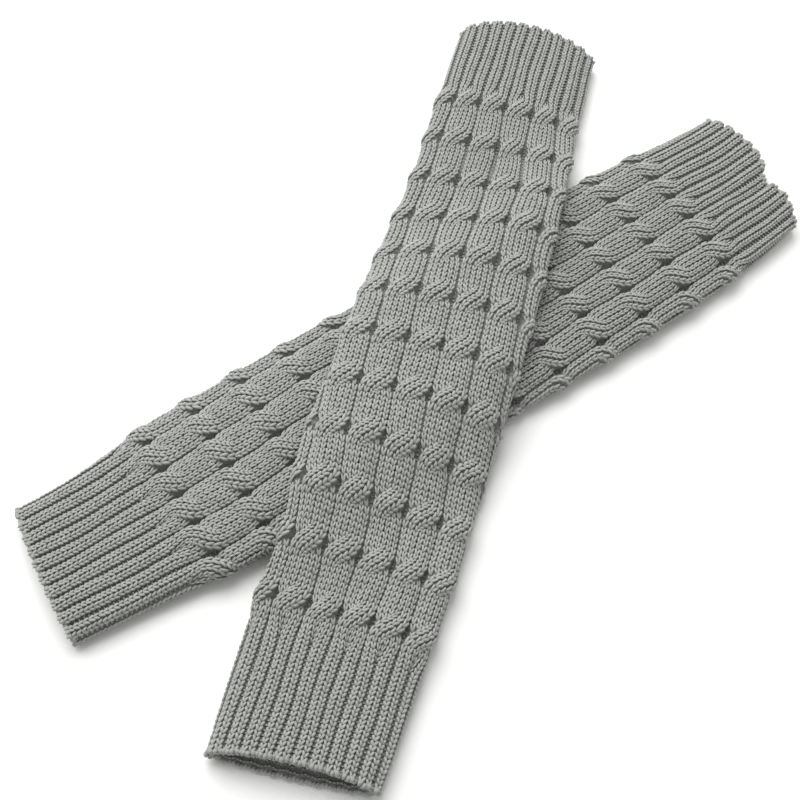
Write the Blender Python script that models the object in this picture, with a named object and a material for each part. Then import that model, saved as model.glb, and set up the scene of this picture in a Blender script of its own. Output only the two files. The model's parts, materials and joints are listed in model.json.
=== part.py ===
"""A pair of cable-knit leg warmers laid flat, one crossed over the other.

Each warmer is a flattened knitted tube: a 2 x 2 rib cuff at the cast-on end, a leg of rope cables in
three or four lengths, and a 2 x 2 rib cuff at the bind-off end. The walls are plain inside, and
their ribs and cables are raised in the outer points. The upper warmer climbs over the lower one where
they cross.

Sizes are in millimetres until a point is placed; the scene is in metres, +Z up, with +Y pointing away
from the viewer and the origin under the middle of the pair.
"""
import math
from dataclasses import dataclass, fields

import bmesh
import bpy
from mathutils import Vector

MM = 0.001

# The knitting.
WALL = 3.2              # thickness of the wall between the raised stitches
SEAM_GAP = 0.3          # gap between two pieces of one warmer
LAY_GAP = 0.45          # gap between the lower warmer's highest stitches and the upper one
WARMER_LENGTH = 460.0
CAST_ON_CUFF = 62.0
BIND_OFF_CUFF = 52.0
RIB_RELIEF = 2.0
CABLE_RELIEF = 2.6
RIBS_PER_CABLE = 2      # a cable and its channel are as wide as two ribs
CROSSINGS = 12
FIRST_CROSSING = 74.0   # from the cast-on hem
LAST_CROSSING = 396.0
CROSSING_SLOPE = 0.84   # rise along the leg for each step across, where the strands cross
SEAM_PAST = 17.8        # distance of a seam in the leg past its crossing, on the plain stretch
SEAM_CLEAR = 6.0        # least distance of a crossing's rows from a seam

# The laid tube.
EDGE_HEIGHT = 6.5       # height of the outermost line of a folded edge
EDGE_ROUND = 9.0        # width of the round between a folded edge and the flat underside
EDGE_INSET = 2.0        # room for the relief inside the measured width, at each edge
DOME = 2.6              # power of the upper side's crown: 2 is an ellipse
INNER_COLUMNS = 20
UNDERSIDE_COLUMNS = 6

# How the upper warmer climbs over the lower one, measured across the lower one.
CLIMB_TOP = 22.0        # half-width of the level stretch on top
CLIMB_FOOT = 88.0       # where the climb starts from the floor

FOLD_WIDTH = 9.0        # half-width of the fold in a hem

WOOL_GREY = (0.26, 0.27, 0.25, 1.0)


@dataclass(frozen=True)
class Section:
    """One cross-section of a laid tube."""

    along: float        # distance from the cast-on hem
    left: float         # axis to the left edge
    right: float        # axis to the right edge
    thick: float        # thickness of the laid tube, without its relief
    pitch: float        # width of one cable and its channel
    turn: float         # place of a channel, in pitches right of the middle


@dataclass(frozen=True)
class Hem:
    """How far a hem's edge lies past its nominal end, along the tube."""

    shift: float        # all along the hem
    slant: float        # more at the right edge, less at the left
    bow: float          # in the middle of the upper layer's hem
    under_bow: float    # in the middle of the lower layer's hem
    notch: float        # at a fold in the hem, back towards the leg
    notch_at: float     # place of that fold, right of the middle


@dataclass(frozen=True)
class ReliefRow:
    """Raised height across one cable, as a share of the full relief, at one step of a crossing."""

    step: float         # distance along the leg from the crossing
    left: float
    middle: float
    right: float


@dataclass(frozen=True)
class LegLength:
    """One of the lengths that a leg is made in."""

    name: str
    last_crossing: int  # its last crossing, counted from 0 at the cast-on end


OVER_LEG = (
    LegLength(name="lower_leg", last_crossing=1),
    LegLength(name="calf_leg", last_crossing=3),
    LegLength(name="middle_leg", last_crossing=7),
    LegLength(name="upper_leg", last_crossing=11),
)

UNDER_LEG = (
    LegLength(name="lower_leg", last_crossing=3),
    LegLength(name="middle_leg", last_crossing=7),
    LegLength(name="upper_leg", last_crossing=11),
)

OVER_SECTIONS = (
    Section(along=0, left=42.6, right=41.5, thick=14.8, pitch=15.8, turn=-0.10),
    Section(along=30, left=43.2, right=43.8, thick=13.8, pitch=15.9, turn=-0.10),
    Section(along=62, left=43.4, right=46.0, thick=14.2, pitch=16.2, turn=-0.13),
    Section(along=107, left=40.2, right=48.6, thick=15.4, pitch=17.0, turn=-0.27),
    Section(along=150, left=44.4, right=50.0, thick=15.4, pitch=17.75, turn=-0.35),
    Section(along=202, left=44.6, right=51.0, thick=15.4, pitch=18.4, turn=-0.59),
    Section(along=288, left=42.6, right=50.8, thick=15.4, pitch=18.2, turn=-0.90),
    Section(along=340, left=39.6, right=48.4, thick=15.4, pitch=17.6, turn=-0.98),
    Section(along=397, left=40.6, right=45.4, thick=14.6, pitch=15.5, turn=-1.07),
    Section(along=430, left=41.0, right=44.6, thick=13.6, pitch=15.2, turn=-1.10),
    Section(along=460, left=41.2, right=43.2, thick=13.4, pitch=15.2, turn=-1.10),
)

UNDER_SECTIONS = (
    Section(along=0, left=39.5, right=40.4, thick=13.4, pitch=15.2, turn=0.05),
    Section(along=30, left=39.2, right=43.6, thick=13.4, pitch=15.6, turn=0.05),
    Section(along=62, left=42.4, right=47.4, thick=14.2, pitch=16.6, turn=0.05),
    Section(along=85, left=44.6, right=50.2, thick=15.4, pitch=18.0, turn=0.00),
    Section(along=150, left=46.2, right=53.0, thick=15.4, pitch=18.6, turn=-0.18),
    Section(along=230, left=46.6, right=54.2, thick=15.4, pitch=18.0, turn=-0.36),
    Section(along=310, left=46.0, right=55.0, thick=15.4, pitch=17.0, turn=-0.52),
    Section(along=370, left=45.6, right=53.6, thick=15.0, pitch=16.5, turn=-0.57),
    Section(along=408, left=43.8, right=51.2, thick=14.2, pitch=16.0, turn=-0.57),
    Section(along=436, left=42.4, right=48.6, thick=13.6, pitch=15.4, turn=-0.57),
    Section(along=460, left=42.4, right=44.6, thick=13.6, pitch=15.2, turn=-0.57),
)

# One crossing: the strand on top slants up to the right, between two hollows, then the leg runs plain.
CABLE_ROWS = (
    ReliefRow(step=-4.6, left=0.55, middle=0.46, right=0.10),
    ReliefRow(step=0.0, left=0.85, middle=1.00, right=0.85),
    ReliefRow(step=4.6, left=0.10, middle=0.46, right=0.55),
    ReliefRow(step=11.0, left=0.56, middle=0.80, right=0.66),
    ReliefRow(step=18.0, left=0.66, middle=0.80, right=0.56),
)
PLAIN_ROW = ReliefRow(step=0.0, left=0.6, middle=0.7, right=0.6)
CABLE_PLACES = (0.0, 0.2, 0.5, 0.8)     # channel, left, middle and right of one cable
RIB_PROFILE = ((0.0, 0.0), (0.22, 0.9), (0.5, 1.0), (0.78, 0.9))    # place and raised share
CUFF_ROWS = 3


def smooth_table(rows, along):
    """Return the table's row at a distance along, on a smooth curve through its rows."""
    last = len(rows) - 1
    index = max(i for i in range(last) if along >= rows[i].along or i == 0)
    low, high = rows[index], rows[index + 1]
    before, after = rows[max(index - 1, 0)], rows[min(index + 2, last)]
    span = high.along - low.along
    share = min(max((along - low.along) / span, 0.0), 1.0)
    values = {}
    for field in fields(Section):
        a, b = getattr(low, field.name), getattr(high, field.name)
        slope_a = (b - getattr(before, field.name)) / (high.along - before.along) * span
        slope_b = (getattr(after, field.name) - a) / (after.along - low.along) * span
        values[field.name] = (
            a * (1 + 2 * share) * (1 - share) ** 2
            + b * (3 - 2 * share) * share**2
            + slope_a * share * (1 - share) ** 2
            - slope_b * (1 - share) * share**2
        )
    return Section(**values)


class Contour:
    """Closed outline of a laid tube, walked by its length from the middle of its upper side."""

    STEPS = 48

    def __init__(self, half_width, bottom, top, edge_round):
        edge = EDGE_HEIGHT
        self.points = []
        for step in range(self.STEPS + 1):
            share = math.sin(math.pi / 2 * step / self.STEPS)
            crown = math.sqrt(max(1 - share**DOME, 0.0))
            self.points.append((half_width * share, edge + (top - edge) * crown))
        for step in range(1, self.STEPS // 2 + 1):
            angle = math.pi * step / self.STEPS
            across = half_width - edge_round * (1 - math.cos(angle))
            self.points.append((across, edge - (edge - bottom) * math.sin(angle)))
        self.points.append((0.0, bottom))
        self.marks = [0.0]
        for start, end in zip(self.points, self.points[1:]):
            self.marks.append(self.marks[-1] + math.dist(start, end))
        self.length = 2 * self.marks[-1]

    def at(self, walked):
        """Return across, height and the outward direction at a length walked to the right."""
        side = -1.0 if walked < 0 else 1.0
        walked = min(abs(walked), self.marks[-1])
        index = max(i for i in range(len(self.points) - 1) if walked >= self.marks[i])
        (x0, z0), (x1, z1) = self.points[index], self.points[index + 1]
        span = self.marks[index + 1] - self.marks[index]
        share = (walked - self.marks[index]) / span
        outward = (side * (z0 - z1) / span, (x1 - x0) / span)
        return side * (x0 + (x1 - x0) * share), z0 + (z1 - z0) * share, outward


class Warmer:
    """One leg warmer: its place on the floor, its sections, its hems and what it lies on."""

    def __init__(self, name, start, heading, sections, leg, hems, columns, lies_on=None):
        self.name = name
        self.start = Vector(start)
        turn = math.radians(heading)
        self.forward = Vector((math.cos(turn), math.sin(turn)))
        self.rightward = Vector((math.sin(turn), -math.cos(turn)))
        self.sections = sections
        self.leg = leg
        self.cast_on, self.bind_off = hems
        self.columns = columns
        self.lies_on = lies_on

    def section(self, along):
        """Return the cross-section at a distance from the cast-on hem."""
        return smooth_table(self.sections, along)

    def outer(self, along):
        """Return the outer contour, which leaves room for the relief inside the measured width."""
        section = self.section(along)
        half_width = (section.left + section.right) / 2 - EDGE_INSET
        return Contour(half_width, 0.0, section.thick, EDGE_ROUND)

    def inner(self, along):
        """Return the contour of the hollow inside."""
        section = self.section(along)
        half_width = (section.left + section.right) / 2 - EDGE_INSET - WALL
        return Contour(half_width, WALL, section.thick - WALL, EDGE_ROUND - WALL)

    def hem_reach(self, along, across, height):
        """Return how far a point of a cuff moves along the tube with its uneven hem."""
        section = self.section(along)
        if along < CAST_ON_CUFF:
            hem, share = self.cast_on, 1 - along / CAST_ON_CUFF
        else:
            hem = self.bind_off
            share = 1 - (WARMER_LENGTH - along) / BIND_OFF_CUFF
        if share <= 0:
            return 0.0
        side = 2 * across / (section.left + section.right)
        upper = min(max(height / section.thick, 0.0), 1.0)
        bow = hem.bow * upper + hem.under_bow * (1 - upper)
        fold = math.exp(-(((across - hem.notch_at) / FOLD_WIDTH) ** 2))
        return share * (hem.shift + hem.slant * side + bow * (1 - side**2) - hem.notch * fold)

    def plan(self, along, across, height):
        """Return the plan position of a point, right of the middle of its section."""
        section = self.section(along)
        offset = across + (section.right - section.left) / 2
        reached = along + self.hem_reach(along, across, height)
        return self.start + self.forward * reached + self.rightward * offset

    def crest_height(self):
        """Return the height of the highest stitches of the leg above what it lies on."""
        return max(section.thick for section in self.sections) + CABLE_RELIEF

    def lift(self, place):
        """Return how high the underside lies at a plan position."""
        if self.lies_on is None:
            return 0.0
        below = self.lies_on
        offset = place - below.start
        section = below.section(offset.dot(below.forward))
        middle = (section.right - section.left) / 2
        away = abs(offset.dot(below.rightward) - middle)
        share = min(max((away - CLIMB_TOP) / (CLIMB_FOOT - CLIMB_TOP), 0.0), 1.0)
        return (below.crest_height() + LAY_GAP) * (1 + math.cos(math.pi * share)) / 2

    def place(self, along, across, height):
        """Return a point's position in metres."""
        plan = self.plan(along, across, height)
        return Vector((plan.x, plan.y, height + self.lift(plan))) * MM


def zip_strip(bm, one, two):
    """Fill the strip between two runs of (mark, vertex) pairs, whose marks rise together."""
    i = j = 0
    while i < len(one) - 1 or j < len(two) - 1:
        can_one, can_two = i < len(one) - 1, j < len(two) - 1
        if can_one and (not can_two or one[i + 1][0] <= two[j + 1][0]):
            bm.faces.new((one[i][1], one[i + 1][1], two[j][1]))
            i += 1
        else:
            bm.faces.new((two[j + 1][1], two[j][1], one[i][1]))
            j += 1


def fill_grid(bm, rows):
    """Fill the quads between successive rows of vertices, each cut into two triangles."""
    for low, high in zip(rows, rows[1:]):
        for a, b, c, d in zip(low, low[1:], high[1:], high):
            bm.faces.new((a, b, c))
            bm.faces.new((a, c, d))


def closed_run(pairs):
    """Return (mark, vertex) pairs in order from half a turn before to half a turn past the top."""
    wrapped = sorted(((mark + 0.5) % 1.0 - 0.5, index) for index, (mark, _) in enumerate(pairs))
    run = [(mark, pairs[index][1]) for mark, index in wrapped]
    return run + [(run[0][0] + 1.0, run[0][1])]


class Piece:
    """One knitted piece: rows of outer points with their relief, round a plain hollow."""

    def __init__(self, warmer, name, relief, rows, under_every):
        self.warmer = warmer
        self.name = f"{warmer.name}_{name}"
        self.relief = relief
        self.rows = rows            # each row: along, slope across a cable, (place, share) pairs
        self.under_every = under_every
        self.bm = bmesh.new()

    def raised_row(self, along, slope, profile):
        """Return the vertices of one row over the upper side, and the marks of its two ends."""
        warmer = self.warmer
        vertices = []
        for column in range(warmer.columns[0], warmer.columns[1] + 1):
            for place, share in profile:
                if column == warmer.columns[1] and place > 0:
                    break
                lean = 0.0 if place == 0 else place - 0.5
                section = warmer.section(along)
                here = along + slope * lean * section.pitch
                section = warmer.section(here)
                contour = warmer.outer(here)
                walked = (column + place + section.turn) * section.pitch
                across, height, outward = contour.at(walked)
                fade = min(max(height / EDGE_HEIGHT, 0.0), 1.0)
                raised = share * self.relief * fade**2 * (3 - 2 * fade)
                spot = warmer.place(here, across + outward[0] * raised, height + outward[1] * raised)
                vertices.append((walked / contour.length, self.bm.verts.new(spot)))
        return vertices

    def under_row(self, along, start_mark, end_mark):
        """Return the vertices of one row round the underside, between two marks."""
        contour = self.warmer.outer(along)
        vertices = []
        for step in range(1, UNDERSIDE_COLUMNS + 1):
            mark = start_mark + (end_mark - start_mark) * step / (UNDERSIDE_COLUMNS + 1)
            walked = mark if mark <= 0.5 else mark - 1.0
            across, height, _ = contour.at(walked * contour.length)
            vertices.append((mark, self.bm.verts.new(self.warmer.place(along, across, height))))
        return vertices

    def inner_row(self, along):
        """Return the closed row of vertices round the hollow."""
        contour = self.warmer.inner(along)
        vertices = []
        for step in range(INNER_COLUMNS):
            mark = step / INNER_COLUMNS - 0.5
            across, height, _ = contour.at(mark * contour.length)
            vertices.append((mark, self.bm.verts.new(self.warmer.place(along, across, height))))
        return vertices

    def build(self):
        """Make the closed body and return its object."""
        bm = self.bm
        raised = [self.raised_row(*row) for row in self.rows]
        last = len(self.rows) - 1
        chosen = sorted(set(range(0, last, self.under_every)) | {last})
        under = {
            index: self.under_row(self.rows[index][0], raised[index][-1][0], raised[index][0][0] + 1)
            for index in chosen
        }
        inner = {index: self.inner_row(self.rows[index][0]) for index in chosen}
        fill_grid(bm, [[vertex for _, vertex in row] for row in raised])
        fill_grid(bm, [[vertex for _, vertex in under[index]] for index in chosen])
        fill_grid(bm, [[vertex for _, vertex in inner[index] + inner[index][:1]] for index in chosen])
        for side, edge in ((0, -1), (-1, 0)):
            long_run = [(index, row[side][1]) for index, row in enumerate(raised)]
            short_run = [(index, under[index][edge][1]) for index in chosen]
            zip_strip(bm, long_run, short_run)
        for index in (0, last):
            zip_strip(bm, closed_run(raised[index] + under[index]), closed_run(inner[index]))
        bmesh.ops.recalc_face_normals(bm, faces=bm.faces[:])
        mesh = bpy.data.meshes.new(self.name)
        bm.to_mesh(mesh)
        bm.free()
        shape = bpy.data.objects.new(self.name, mesh)
        bpy.context.scene.collection.objects.link(shape)
        return shape


def wool(name):
    """Return a matt grey wool material for one piece."""
    material = bpy.data.materials.new(f"{name}_wool")
    material.use_nodes = True
    shader = material.node_tree.nodes["Principled BSDF"]
    shader.inputs["Base Color"].default_value = WOOL_GREY
    shader.inputs["Roughness"].default_value = 0.9
    shader.inputs["Metallic"].default_value = 0.0
    return material


def cuff_rows(start, end):
    """Return the rows of a ribbed cuff between two places along the tube."""
    profile = [
        ((rib + place) / RIBS_PER_CABLE, share)
        for rib in range(RIBS_PER_CABLE)
        for place, share in RIB_PROFILE
    ]
    return [
        (start + (end - start) * step / CUFF_ROWS, 0.0, profile) for step in range(CUFF_ROWS + 1)
    ]


def cable_profile(row):
    """Return a cable's (place, share) pairs from one row of its relief table."""
    return list(zip(CABLE_PLACES, (0.0, row.left, row.middle, row.right)))


def leg_rows(start, end):
    """Return the rows of a length of the leg: a plain row at each seam, and the crossings between."""
    spacing = (LAST_CROSSING - FIRST_CROSSING) / (CROSSINGS - 1)
    rows = [(start, 0.0, cable_profile(PLAIN_ROW))]
    for crossing in range(CROSSINGS):
        for step in CABLE_ROWS:
            along = FIRST_CROSSING + crossing * spacing + step.step
            if start + SEAM_CLEAR < along < end - SEAM_CLEAR:
                rows.append((along, CROSSING_SLOPE, cable_profile(step)))
    rows.append((end, 0.0, cable_profile(PLAIN_ROW)))
    return rows


def leg_seams(leg):
    """Return where the lengths of a leg start and end, from cuff to cuff."""
    spacing = (LAST_CROSSING - FIRST_CROSSING) / (CROSSINGS - 1)
    between = [FIRST_CROSSING + length.last_crossing * spacing + SEAM_PAST for length in leg[:-1]]
    return [CAST_ON_CUFF] + between + [WARMER_LENGTH - BIND_OFF_CUFF]


def build_warmer(warmer, under_every):
    """Make the pieces of one leg warmer: a cuff, the lengths of its leg and a cuff."""
    half_gap = SEAM_GAP / 2
    seams = leg_seams(warmer.leg)
    pieces = [Piece(warmer, "cast_on_cuff", RIB_RELIEF, cuff_rows(0.0, seams[0] - half_gap), 1)]
    for length, start, end in zip(warmer.leg, seams, seams[1:]):
        rows = leg_rows(start + half_gap, end - half_gap)
        pieces.append(Piece(warmer, length.name, CABLE_RELIEF, rows, under_every))
    rows = cuff_rows(seams[-1] + half_gap, WARMER_LENGTH)
    pieces.append(Piece(warmer, "bind_off_cuff", RIB_RELIEF, rows, 1))
    for piece in pieces:
        shape = piece.build()
        shape.data.materials.append(wool(piece.name))


def main():
    """Clear the scene and build both leg warmers."""
    for shape in list(bpy.data.objects):
        bpy.data.objects.remove(shape, do_unlink=True)
    under = Warmer(
        name="under",
        start=(-191.4, -122.8),
        heading=33.0,
        sections=UNDER_SECTIONS,
        leg=UNDER_LEG,
        hems=(
            Hem(shift=0.0, slant=-3.5, bow=-1.5, under_bow=-1.5, notch=0.0, notch_at=0.0),
            Hem(shift=-9.5, slant=-3.0, bow=8.0, under_bow=8.0, notch=7.0, notch_at=12.0),
        ),
        columns=(-3, 4),
    )
    over = Warmer(
        name="over",
        start=(-64.7, -217.7),
        heading=73.84,
        sections=OVER_SECTIONS,
        leg=OVER_LEG,
        hems=(
            Hem(shift=-1.5, slant=2.5, bow=3.5, under_bow=-1.5, notch=0.0, notch_at=0.0),
            Hem(shift=-8.0, slant=-0.5, bow=10.5, under_bow=9.0, notch=0.0, notch_at=0.0),
        ),
        columns=(-3, 5),
        lies_on=under,
    )
    build_warmer(under, under_every=5)
    build_warmer(over, under_every=2)


main()
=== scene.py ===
"""Looks of a pair of grey cable-knit leg warmers, laid flat and crossed.

Each warmer is dressed as the maker knits it: a wall of yarn in three stretches, and on it the
knit stitches, one by one, in 2 x 2 ribs and in cables of six wales. Lengths are in millimetres
until a piece is made; the finished meshes are in metres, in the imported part's own frame.
"""
from __future__ import annotations

import json
import logging
import math
from collections.abc import Iterable
from dataclasses import astuple, dataclass
from enum import Enum
from functools import cache

import bpy
import numpy as np
from bpy.types import ID, Material, Mesh, Node, NodeSocket, NodeTree, Object
from mathutils import Euler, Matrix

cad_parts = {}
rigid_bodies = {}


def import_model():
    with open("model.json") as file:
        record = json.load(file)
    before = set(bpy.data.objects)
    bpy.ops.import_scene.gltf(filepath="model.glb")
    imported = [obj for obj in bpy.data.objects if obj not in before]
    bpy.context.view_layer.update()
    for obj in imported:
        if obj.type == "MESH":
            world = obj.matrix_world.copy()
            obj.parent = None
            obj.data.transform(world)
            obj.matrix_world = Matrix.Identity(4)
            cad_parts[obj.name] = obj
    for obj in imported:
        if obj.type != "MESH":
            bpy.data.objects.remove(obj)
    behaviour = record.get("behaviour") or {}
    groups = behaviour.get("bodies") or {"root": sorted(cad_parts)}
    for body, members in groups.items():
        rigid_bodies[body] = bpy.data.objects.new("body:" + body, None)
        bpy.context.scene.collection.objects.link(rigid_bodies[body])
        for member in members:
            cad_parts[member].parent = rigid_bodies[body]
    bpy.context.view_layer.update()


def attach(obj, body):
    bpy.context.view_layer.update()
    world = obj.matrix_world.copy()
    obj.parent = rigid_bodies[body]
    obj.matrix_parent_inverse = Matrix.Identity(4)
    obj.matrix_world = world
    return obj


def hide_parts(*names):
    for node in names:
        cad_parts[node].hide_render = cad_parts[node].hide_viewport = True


LOG = logging.getLogger("leg_warmers")
MM = 0.001

Array = np.ndarray
Arrays = tuple[Array, ...]
Point = tuple[float, float, float]
Points = dict[str, Array]       # the position, forward, out and size of stitches

# The knitting, as in the part's source.
WALL = 3.2              # thickness of the wall under the raised stitches
SEAM_GAP = 0.3          # between two stretches
LAY_GAP = 0.45          # between the upper warmer and the lower one
WARMER_LENGTH = 460.0
CAST_ON_CUFF = 62.0
BIND_OFF_CUFF = 52.0
CREST = 2.6             # highest stitches above the wall
EDGE_HEIGHT = 6.5       # where a laid tube is widest
FLANK_HEIGHT = 12.0     # below this the cables and ribs are less and less raised
EDGE_ROUND = 9.0        # width of the round between a folded edge and the underside
EDGE_INSET = 2.0        # how far the wall lies inside the table's reach
DOME = 2.6              # the larger, the flatter the upper side
CLIMB_TOP = 22.0        # how far from its middle the lower warmer lifts the upper fully
CLIMB_FOOT = 88.0       # and how far from it the upper comes down
FOLD_WIDTH = 9.0        # half width of a hem's fold
SCALLOP = 0.9           # how far the ribs reach past the channels at a hem
SCALLOP_FADE = 4.0      # and how far in that can be seen
# Sideways unevenness of the upper layer: depth, length of a wave, and shifts: once, per cable.
WOBBLES = ((0.35, 19.0, 2.0, 0.0), (0.35, 8.3, 0.0, 2.1))
# Unevenness of the upper layer: depth, and lengths of a wave along and across.
SAG_WAVES = ((0.22, 23.0, 17.0), (0.16, 9.7, -11.0))
# Unevenness of the cables' widths: share, length of a wave, and shift from cable to cable.
EASE_WAVES = ((0.022, 11.0, 2.3), (0.018, 27.0, -1.7))

# Stitch counts and sizes.
STITCHES_ROUND = 88
STITCHES_PER_CABLE = 8
WALE = 2.85             # width of a knit stitch as the stitch model is drawn
COURSE = 2.45           # height of a course
EASE_LENGTH = 60.0      # length over which the fabric turns slack or is drawn out
SEED = 7


@dataclass(frozen=True)
class Section:
    """One cross-section of a laid tube."""

    along: float
    left: float         # reach to either side of the tube's own line
    right: float
    thick: float
    pitch: float        # width of a cable and its channel
    turn: float         # how far the chart is turned to the right, in cables


@dataclass(frozen=True)
class Hem:
    """How far a hem's edge lies past its nominal end, along the tube."""

    shift: float
    slant: float            # more at the right edge than in the middle
    bow: float              # more in the middle than at both edges, of the upper layer
    under_bow: float        # and of the lower one
    notch: float = 0.0      # depth of a fold's notch
    notch_at: float = 0.0   # and how far right of the middle it lies


@dataclass(frozen=True)
class Crease:
    """A soft trough (or ridge, if its depth is negative) in the upper layer."""

    along: float
    across: float
    turn: float         # degrees from the tube's own direction
    length: float
    width: float
    depth: float


def section_table(*rows: tuple[float, ...]) -> tuple[Section, ...]:
    """Return sections from rows of along, left, right, thick, pitch and turn."""
    return tuple(Section(*row) for row in rows)


OVER_SECTIONS = section_table(
    (0, 42.6, 41.5, 14.8, 15.8, -0.10),
    (30, 43.2, 43.8, 13.8, 15.9, -0.10),
    (62, 43.4, 46.0, 14.2, 16.2, -0.13),
    (107, 40.2, 48.6, 15.4, 17.0, -0.27),
    (150, 44.4, 50.0, 15.4, 17.75, -0.35),
    (202, 44.6, 51.0, 15.4, 18.4, -0.59),
    (288, 42.6, 50.8, 15.4, 18.2, -0.90),
    (340, 39.6, 48.4, 15.4, 17.6, -0.98),
    (397, 40.6, 45.4, 14.6, 15.5, -1.07),
    (430, 41.0, 44.6, 13.6, 15.2, -1.10),
    (460, 41.2, 43.2, 13.4, 15.2, -1.10),
)

UNDER_SECTIONS = section_table(
    (0, 39.5, 40.4, 13.4, 15.2, 0.05),
    (30, 39.2, 43.6, 13.4, 15.6, 0.05),
    (62, 42.4, 47.4, 14.2, 16.6, 0.05),
    (85, 44.6, 50.2, 15.4, 18.0, 0.00),
    (150, 46.2, 53.0, 15.4, 18.6, -0.18),
    (230, 46.6, 54.2, 15.4, 18.0, -0.36),
    (310, 46.0, 55.0, 15.4, 17.0, -0.52),
    (370, 45.6, 53.6, 15.0, 16.5, -0.57),
    (408, 43.8, 51.2, 14.2, 16.0, -0.57),
    (436, 42.4, 48.6, 13.6, 15.4, -0.57),
    (460, 42.4, 44.6, 13.6, 15.2, -0.57),
)


class Stretch(Enum):
    """The three stretches that a warmer is knitted in: name, slot, start and end along the tube."""

    CAST_ON = ("cast_on_cuff", "rib_knit", 0.0, CAST_ON_CUFF)
    LEG = ("leg", "cable_knit", CAST_ON_CUFF, WARMER_LENGTH - BIND_OFF_CUFF)
    BIND_OFF = ("bind_off_cuff", "rib_knit", WARMER_LENGTH - BIND_OFF_CUFF, WARMER_LENGTH)

    def __init__(self, label: str, slot: str, start: float, end: float) -> None:
        """Keep the stretch's name in its pieces, its slot in the record, its start and its end."""
        self.label, self.slot, self.start, self.end = label, slot, start, end


class Layer(Enum):
    """The two faces of a wall."""

    OUTER = 0.0
    INNER = WALL


def smooth_step(share: Array | float) -> Array | float:
    """Return a share from 0 to 1 eased at both ends.

    Args:
        share: The share, or an array of them, in any range.

    Returns:
        The eased share, clipped to 0 and 1.
    """
    clipped = np.clip(share, 0.0, 1.0)
    return clipped * clipped * (3.0 - 2.0 * clipped)


def smooth_table(rows: tuple[Section, ...], along: float) -> Section:
    """Return the table's row at a distance along, on a smooth curve through its rows.

    Args:
        rows: The table's rows, in order along the tube.
        along: Distance from the cast-on hem.

    Returns:
        The section there.
    """
    last = len(rows) - 1
    index = max(i for i in range(last) if along >= rows[i].along or i == 0)
    near = (rows[min(max(i, 0), last)] for i in range(index - 1, index + 3))
    before, low, high, after = (np.array(astuple(row), float) for row in near)
    span = high[0] - low[0]
    share = min(max((along - low[0]) / span, 0.0), 1.0)
    slope_low = (high - before) / (high[0] - before[0]) * span
    slope_high = (after - low) / (after[0] - low[0]) * span
    return Section(
        *(
            low * (1 + 2 * share) * (1 - share) ** 2
            + high * (3 - 2 * share) * share**2
            + slope_low * share * (1 - share) ** 2
            - slope_high * (1 - share) * share**2
        )
    )


class Contour:
    """Closed outline of a laid tube, walked by its length from the middle of its upper side."""

    STEPS = 96

    def __init__(self, half_width: float, bottom: float, top: float, edge_round: float) -> None:
        """Lay out the right half of the outline.

        Args:
            half_width: Half of the outline's width.
            bottom: Height of its flat underside.
            top: Height of its crown.
            edge_round: Width of the round between a folded edge and the underside.
        """
        share = np.sin(np.linspace(0.0, math.pi / 2, self.STEPS + 1))
        crown = np.sqrt(np.maximum(1.0 - share**DOME, 0.0))
        angle = np.linspace(0.0, math.pi / 2, self.STEPS // 2 + 1)[1:]
        across = np.concatenate(
            (half_width * share, half_width - edge_round * (1 - np.cos(angle)), [0.0])
        )
        height = np.concatenate(
            (
                EDGE_HEIGHT + (top - EDGE_HEIGHT) * crown,
                EDGE_HEIGHT - (EDGE_HEIGHT - bottom) * np.sin(angle),
                [bottom],
            )
        )
        steps = np.hypot(np.diff(across), np.diff(height))
        self.marks = np.concatenate(([0.0], np.cumsum(steps)))
        self.length = 2.0 * self.marks[-1]
        self.across, self.height = across, height
        self.out_across = -np.gradient(height, self.marks)
        self.out_height = np.gradient(across, self.marks)

    def at(self, walked: Array) -> Arrays:
        """Return points on the outline.

        Args:
            walked: Lengths walked to the right from the middle of the upper side.

        Returns:
            Across, height, and the outward direction's across and height.
        """
        half = self.length / 2
        wrapped = (np.asarray(walked, float) + half) % self.length - half
        side = np.where(wrapped < 0, -1.0, 1.0)
        mark = np.abs(wrapped)
        return (
            side * np.interp(mark, self.marks, self.across),
            np.interp(mark, self.marks, self.height),
            side * np.interp(mark, self.marks, self.out_across),
            np.interp(mark, self.marks, self.out_height),
        )


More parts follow.
